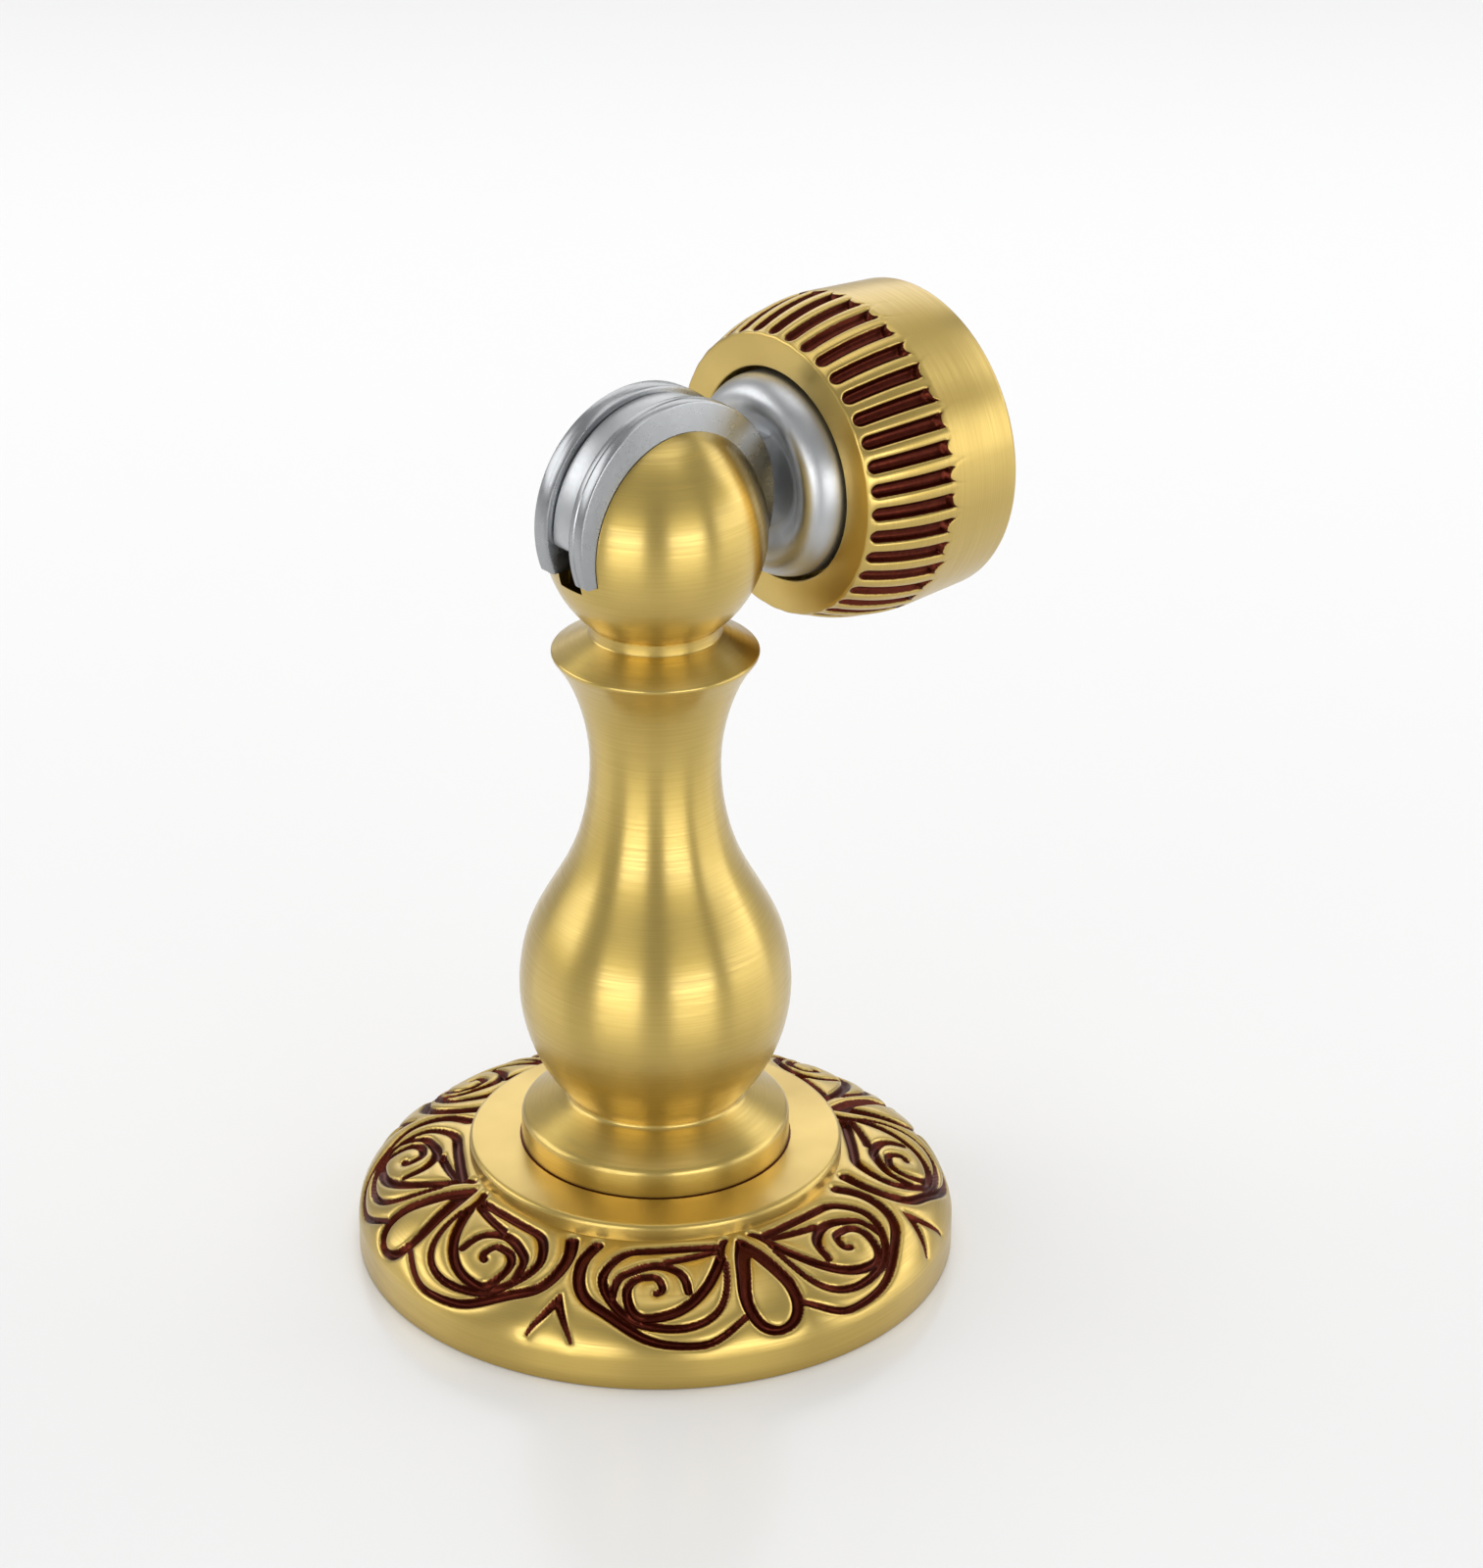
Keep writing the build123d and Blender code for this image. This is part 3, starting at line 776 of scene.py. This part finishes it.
def make_tongue():
    """The tongue's outline, extruded to its thickness, with rounded edges."""
    web_turn = np.degrees(np.arcsin(WEB_HALF / TONGUE_RADIUS))
    tip_turn = 180 + np.degrees(np.arcsin(TONGUE_DROP / TONGUE_RADIUS))
    outline = [
        *around_hinge(web_turn, tip_turn - 4, 70),
        (-TONGUE_RADIUS + 0.16, -TONGUE_DROP + 0.3),
        (-TONGUE_RADIUS + 0.5, -TONGUE_DROP),
        (0, -TONGUE_DROP),
        *around_hinge(-90, -web_turn, 30),
        (WEB_END, -WEB_HALF),
        (WEB_END, WEB_HALF),
    ]
    bm = bmesh.new()
    verts = [bm.verts.new(Vector((x, -TONGUE_HALF, PIVOT_Z + z)) * MM) for x, z in outline]
    face = bm.faces.new(verts)
    grown = bmesh.ops.extrude_face_region(bm, geom=[face])["geom"]
    moved = [item for item in grown if isinstance(item, bmesh.types.BMVert)]
    bmesh.ops.translate(bm, vec=HINGE * (2 * TONGUE_HALF * MM), verts=moved)
    return soften(close_up(bm), 50, 0.22)


tongue = make_tongue()
print("tongue", 2 * TONGUE_HALF, "mm thick,", len(tongue.faces), "faces")

# %% Drum
DRUM_RADIUS = 10.0
DRUM_END_X = 18.0
DISH_LINE = [
    (4.6, 12.9), (5.3, 12.72), (6.0, 12.33), (6.7, 11.95), (7.3, 11.74), (7.8, 11.7), (8.4, 11.83),
    (9.0, 12.22), (9.5, 12.85), (9.82, 13.6), (9.97, 14.3), (DRUM_RADIUS, 14.9),
]
SPRING_SEAT = (3.7, 6.2, 14.8)
SCREW_BORE = (2.05, 14.7)


def make_drum():
    """The drum with its dished face, rolled rim and spring seat."""
    outline = [
        (0, DISH_LINE[0][1]),
        *smooth_line(DISH_LINE, 48),
        (DRUM_RADIUS, DRUM_END_X - 0.3),
        (DRUM_RADIUS - 0.3, DRUM_END_X),
        (SPRING_SEAT[1], DRUM_END_X),
        (SPRING_SEAT[1], SPRING_SEAT[2]),
        (SPRING_SEAT[0], SPRING_SEAT[2]),
        (SPRING_SEAT[0], DRUM_END_X),
        (SCREW_BORE[0], DRUM_END_X),
        SCREW_BORE,
        (0, SCREW_BORE[1]),
    ]
    return spin_outline(outline, HEAD, 160)


swivel = combine(make_drum(), tongue, "UNION")
swivel = combine(swivel, hinge_disc(PIN_HOLE, -4, 4, 48), "DIFFERENCE")
finish_piece(swivel, "cast_swivel", "head", nickel_plate, "nickel_plate", "swivel", smooth_to=38)

# %% [markdown]
# Magnet cup
#
# The cup is turned too, and its shoulder is fluted: narrow channels run along it, round at the back and
# torn at the front where the cutter left. As on the rosette, close rows of vertices are pressed in by
# how far they lie inside a flute, and the depth becomes the patina. Each flute ends a little
# differently, from a seeded random draw, because they were cut one by one.

# %% Cup outline
CUP_BACK_X = 14.4
CUP_FRONT_X = 31.7
CUP_RADIUS = 15.8
CUP_RIM_RADIUS = 15.3
CUP_BACK_RADIUS = 13.85
OPENING_RADIUS = 10.45
FRONT_BORE = 13.2
POLE_X = 26.45
CHAMBER_RADIUS = 8.0
PARTITION = (20.8, 22.2)
SCREW_HOLE = 3.08
SHOULDER_ROWS = 58
FLUTES = 38
STEPS_PER_FLUTE = 24

shoulder_start = Vector((CUP_BACK_RADIUS, CUP_BACK_X + 0.3))
shoulder_end = Vector((CUP_RADIUS, CUP_BACK_X + 9.2))
shoulder_along = (shoulder_end - shoulder_start).normalized()
shoulder_crown = (shoulder_start + shoulder_end) / 2 + Vector((shoulder_along.y, -shoulder_along.x)) * 0.45
shoulder_line = arc_through(shoulder_start, shoulder_crown, shoulder_end, SHOULDER_ROWS)
rim_corner = Vector((CUP_RIM_RADIUS, CUP_FRONT_X))
band_end = shoulder_end.lerp(rim_corner, 0.17)
rim_start = rim_corner.lerp(shoulder_end, 0.06)
opening_edge = rounded(
    (OPENING_RADIUS, CUP_BACK_X + 0.25),
    (OPENING_RADIUS, CUP_BACK_X),
    (OPENING_RADIUS + 0.25, CUP_BACK_X),
    5,
)
back_edge = rounded(
    (CUP_BACK_RADIUS - 0.4, CUP_BACK_X),
    (CUP_BACK_RADIUS - 0.05, CUP_BACK_X),
    shoulder_start,
    5,
)
cup_outline = [
    *opening_edge,
    *back_edge,
    *shoulder_line[1:],
    *[tuple(shoulder_end.lerp(band_end, share)) for share in np.linspace(0.1, 1, 10)],
    tuple(band_end.lerp(rim_start, 0.5)),
    *rounded(rim_start, rim_corner, (CUP_RIM_RADIUS - 0.5, CUP_FRONT_X), 6),
    (FRONT_BORE + 0.15, CUP_FRONT_X),
    (FRONT_BORE, CUP_FRONT_X - 0.15),
    (FRONT_BORE, POLE_X),
    (CHAMBER_RADIUS, POLE_X),
    (CHAMBER_RADIUS, PARTITION[1]),
    (SCREW_HOLE, PARTITION[1]),
    (SCREW_HOLE, PARTITION[0]),
    (OPENING_RADIUS, PARTITION[0]),
]
print("cup outline", len(cup_outline), "points")

# %% Cut the flutes
FLUTE_BACK_X = 14.75
FLUTE_FRONT_X = 22.95
FLUTE_HALF = 0.68
FLUTE_DEPTH = 0.8
FLUTE_SLOPE = 0.11
flute_draw = np.random.default_rng(7)
flute_ends = FLUTE_FRONT_X + flute_draw.uniform(-0.2, 0.1, FLUTES)
flute_fray = flute_draw.uniform(0.25, 0.6, FLUTES)
flute_lean = flute_draw.uniform(-0.3, 0.3, FLUTES)


def cut_flutes(bm):
    """Presses the shoulder's vertices in along the flutes, and keeps the depth as patina."""
    patina_and_shade = bm.verts.layers.float.new("patina_and_shade")
    bm.verts.ensure_lookup_table()
    places = np.array([vert.co for vert in bm.verts]) / MM - np.array((0, 0, PIVOT_Z))
    radius = np.hypot(places[:, 1], places[:, 2])
    along = places[:, 0]
    fluted = (radius > CUP_BACK_RADIUS - 0.2) & (along > CUP_BACK_X + 0.02) & (along < band_end.y)
    chosen = np.nonzero(fluted)[0]
    turn = np.arctan2(places[chosen, 2], places[chosen, 1]) / (2 * pi) * FLUTES
    number = np.round(turn).astype(int)
    aside = (turn - number) / FLUTES * 2 * pi * radius[chosen]
    which = number % FLUTES
    share = aside / FLUTE_HALF
    front = flute_ends[which] + flute_fray[which] * (np.abs(share) ** 3 - 0.4) + flute_lean[which] * share
    length_in = along[chosen]
    half = FLUTE_HALF * (0.9 + 0.12 * np.clip((length_in - FLUTE_BACK_X) / 8, 0, 1))
    past_back = np.clip(FLUTE_BACK_X + FLUTE_HALF - length_in, 0, None)
    side = np.hypot(aside, past_back) - half
    outside = np.maximum(side, length_in - front)
    cut = 0.5 * (1 - np.tanh((outside + 0.04) / FLUTE_SLOPE))
    lip = 0.14 * np.exp(-np.clip(side, 0, None) / 0.2) * np.clip((front - length_in) / 0.6, 0, 1)
    sunk = FLUTE_DEPTH * cut * (1 - 0.3 * np.clip(share, -1, 1) ** 2) + lip * (1 - cut)
    stained = np.maximum(side, length_in - front - 0.15)
    brown_amount = np.clip(1.5 * (1 - np.tanh((stained - 0.02) / FLUTE_SLOPE)) / 2, 0, 1)
    for index, depth, brown in zip(chosen, sunk, brown_amount):
        vert = bm.verts[index]
        vert.co -= vert.normal * (depth * MM)
        vert[patina_and_shade] = brown
    return len(chosen)


cup = spin_outline(cup_outline, HEAD, FLUTES * STEPS_PER_FLUTE)
cup.normal_update()
print("fluted", cut_flutes(cup), "vertices")
finish_piece(cup, "fluted_cup", "magnet_head", cup_brass, "fluted_brass", "cup", smooth_to=50)

# %% [markdown]
# Magnet face
#
# In the cup's mouth sits a steel pot with a disc magnet in it, and round the pot a rubber ring that
# stands a little proud, so that the door meets rubber and not brass. All three are spun, with rounded
# edges where the light catches them.

# %% Magnet face
POLE_RADIUS = 10.0
POLE_BORE = 9.0
POLE_FLOOR_X = POLE_X + 1
POLE_FRONT = 31.2
MAGNET_RADIUS = 8.95
MAGNET_FRONT = 31.0
RING_SIDES = (10.05, 13.15)
RING_FRONT = 32.1
FACE_STEPS = 144

pole_outline = [
    (0, POLE_X),
    (POLE_RADIUS, POLE_X),
    (POLE_RADIUS, POLE_FRONT - 0.2),
    (POLE_RADIUS - 0.2, POLE_FRONT),
    (POLE_BORE + 0.1, POLE_FRONT),
    (POLE_BORE, POLE_FRONT - 0.1),
    (POLE_BORE, POLE_FLOOR_X),
    (0, POLE_FLOOR_X),
]
pole_cup = spin_outline(pole_outline, HEAD, FACE_STEPS)
finish_piece(pole_cup, "steel_pole_cup", "magnet_head", plain_steel, "plain_steel", "pole_cup")
magnet_edge = arc_through(
    (MAGNET_RADIUS, MAGNET_FRONT - 0.4),
    (MAGNET_RADIUS - 0.11, MAGNET_FRONT - 0.11),
    (MAGNET_RADIUS - 0.4, MAGNET_FRONT),
    6,
)
magnet_outline = [(0, POLE_FLOOR_X), (MAGNET_RADIUS, POLE_FLOOR_X), *magnet_edge, (0, MAGNET_FRONT)]
magnet = spin_outline(magnet_outline, HEAD, FACE_STEPS)
finish_piece(magnet, "disc_magnet", "magnet_head", magnet_plate, "magnet_plate", "magnet")
ring_inner_edge = arc_through((RING_SIDES[0], 31.5), (10.4, 31.95), (10.9, RING_FRONT), 8)
ring_outer_edge = arc_through((12.3, RING_FRONT), (12.8, 31.95), (RING_SIDES[1], 31.5), 8)
rubber_outline = [(RING_SIDES[0], POLE_X), *ring_inner_edge, *ring_outer_edge, (RING_SIDES[1], POLE_X)]
rubber = spin_outline(rubber_outline, HEAD, FACE_STEPS)
finish_piece(rubber, "rubber_buffer_ring", "magnet_head", black_rubber, "black_rubber", "buffer_ring")

# %% [markdown]
# Buffer spring and inner steel
#
# The spring sits unseen between the drum and the cup. A circle of wire is spun and moved along at the
# same time, which gives a coil. It shortens as the cup is pushed in. The pin and the screw keep their
# solids and only get a steel finish.

# %% Spring
WIRE = 0.8
SPRING_RADIUS = 5.4
SPRING_START = 14.85 + WIRE / 2
SPRING_END = 20.75 - WIRE / 2
SPRING_TURNS = 3.5
SPRING_STEPS = 126

spring = bmesh.new()
bmesh.ops.create_circle(spring, cap_ends=False, radius=WIRE / 2 * MM, segments=12)
to_hinge = UP.rotation_difference(HINGE).to_matrix()
bmesh.ops.rotate(spring, cent=(0, 0, 0), matrix=to_hinge, verts=spring.verts)
bmesh.ops.translate(spring, vec=Vector((SPRING_START, 0, PIVOT_Z + SPRING_RADIUS)) * MM, verts=spring.verts)
bmesh.ops.spin(
    spring, geom=spring.verts[:] + spring.edges[:], cent=Vector((0, 0, PIVOT_Z)) * MM, axis=HEAD,
    dvec=HEAD * ((SPRING_END - SPRING_START) * MM / SPRING_STEPS), angle=SPRING_TURNS * 2 * pi,
    steps=SPRING_STEPS,
)
bmesh.ops.holes_fill(spring, edges=[edge for edge in spring.edges if edge.is_boundary], sides=0)
spring_piece = finish_piece(
    close_up(spring), "coil_spring", "head", plain_steel, "plain_steel", "buffer_spring",
)
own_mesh(spring_piece)
low = min(vert.co.x for vert in spring_piece.data.vertices) / MM
high = max(vert.co.x for vert in spring_piece.data.vertices) / MM
print("spring from", round(low, 2), "to", round(high, 2), "mm")

# %% Inner steel
for name in ("hinge_pin", "shoulder_screw"):
    solid = frame["nodes"][name]
    solid.data.materials.clear()
    solid.data.materials.append(plain_steel)
    print(name, "finished in", plain_steel.name)

# %% [markdown]
# Floor and light
#
# The stop stands on a pale, slightly glossy table in a white studio. The floor has its own diffuse
# light and shadow, and a part of its brightness is added for the camera only, so that the background
# stays even and pale without more light on the metal. Two low lamps left and right of the camera give
# the two soft highlights of the belly, and large pale screens round the back and above light the flat
# tops. The last lamp lights the floor alone, as the metal would show it as one more highlight.

# %% Floor
floor_mesh = bmesh.new()
bmesh.ops.create_grid(floor_mesh, x_segments=1, y_segments=1, size=4)
floor_data = bpy.data.meshes.new("floor")
floor_mesh.to_mesh(floor_data)
floor_mesh.free()
floor = bpy.data.objects.new("floor", floor_data)
bpy.context.scene.collection.objects.link(floor)

floor_paint, floor_tree, floor_output = new_material("pale_table")
rays = add(floor_tree, "ShaderNodeLightPath")
glow = add(
    floor_tree, "ShaderNodeMath", {0: rays.outputs["Is Camera Ray"], 1: 0.12}, operation="MULTIPLY",
)
table = add(
    floor_tree, "ShaderNodeBsdfPrincipled",
    {"Base Color": colour("#dcdcdc"), "Roughness": 0.2, "Emission Color": (1, 1, 1, 1),
     "Emission Strength": glow.outputs[0]},
)
floor_tree.links.new(table.outputs[0], floor_output.inputs[0])
floor_data.materials.append(floor_paint)
print("floor", floor.dimensions[:2])

# %% Lamps and sky
sky = bpy.data.worlds.new("studio")
bpy.context.scene.world = sky
sky.use_nodes = True
sky.node_tree.nodes.clear()
studio = add(sky.node_tree, "ShaderNodeBackground", {"Color": colour("#dcdcdc"), "Strength": 0.5})
add(sky.node_tree, "ShaderNodeOutputWorld", {"Surface": studio.outputs[0]})


def soft_lamp(name, place, size, power):
    """A large square lamp that faces the middle of the stop."""
    data = bpy.data.lights.new(name, "AREA")
    data.shape = "RECTANGLE"
    data.size, data.size_y = size
    data.energy = power
    lamp = bpy.data.objects.new(name, data)
    lamp.location = place
    lamp.rotation_euler = (Vector((0, 0, 0.05)) - lamp.location).to_track_quat("-Z", "Y").to_euler()
    bpy.context.scene.collection.objects.link(lamp)
    print(name, power, "W")
    return lamp


soft_lamp("lamp_left", (-0.84, -0.32, 0.15), (0.6, 0.26), 1.65)
soft_lamp("lamp_right", (-0.11, -0.89, 0.15), (0.6, 0.26), 1.52)
soft_lamp("lamp_side", (0.75, -0.66, 0.22), (0.8, 0.4), 1.5)
soft_lamp("screen_left", (-0.76, 0.93, 0.6), (1.0, 0.7), 4.1)
soft_lamp("screen_back", (0.76, 0.93, 0.6), (1.2, 0.7), 2.8)
soft_lamp("screen_right", (1.1, -0.2, 0.6), (0.7, 0.7), 2)
soft_lamp("screen_top", (0.2, 0.2, 1.3), (1.0, 1.0), 3)
soft_lamp("lamp_top", (0.2, 0.2, 1.2), (1.0, 1.0), 4.9).visible_glossy = False
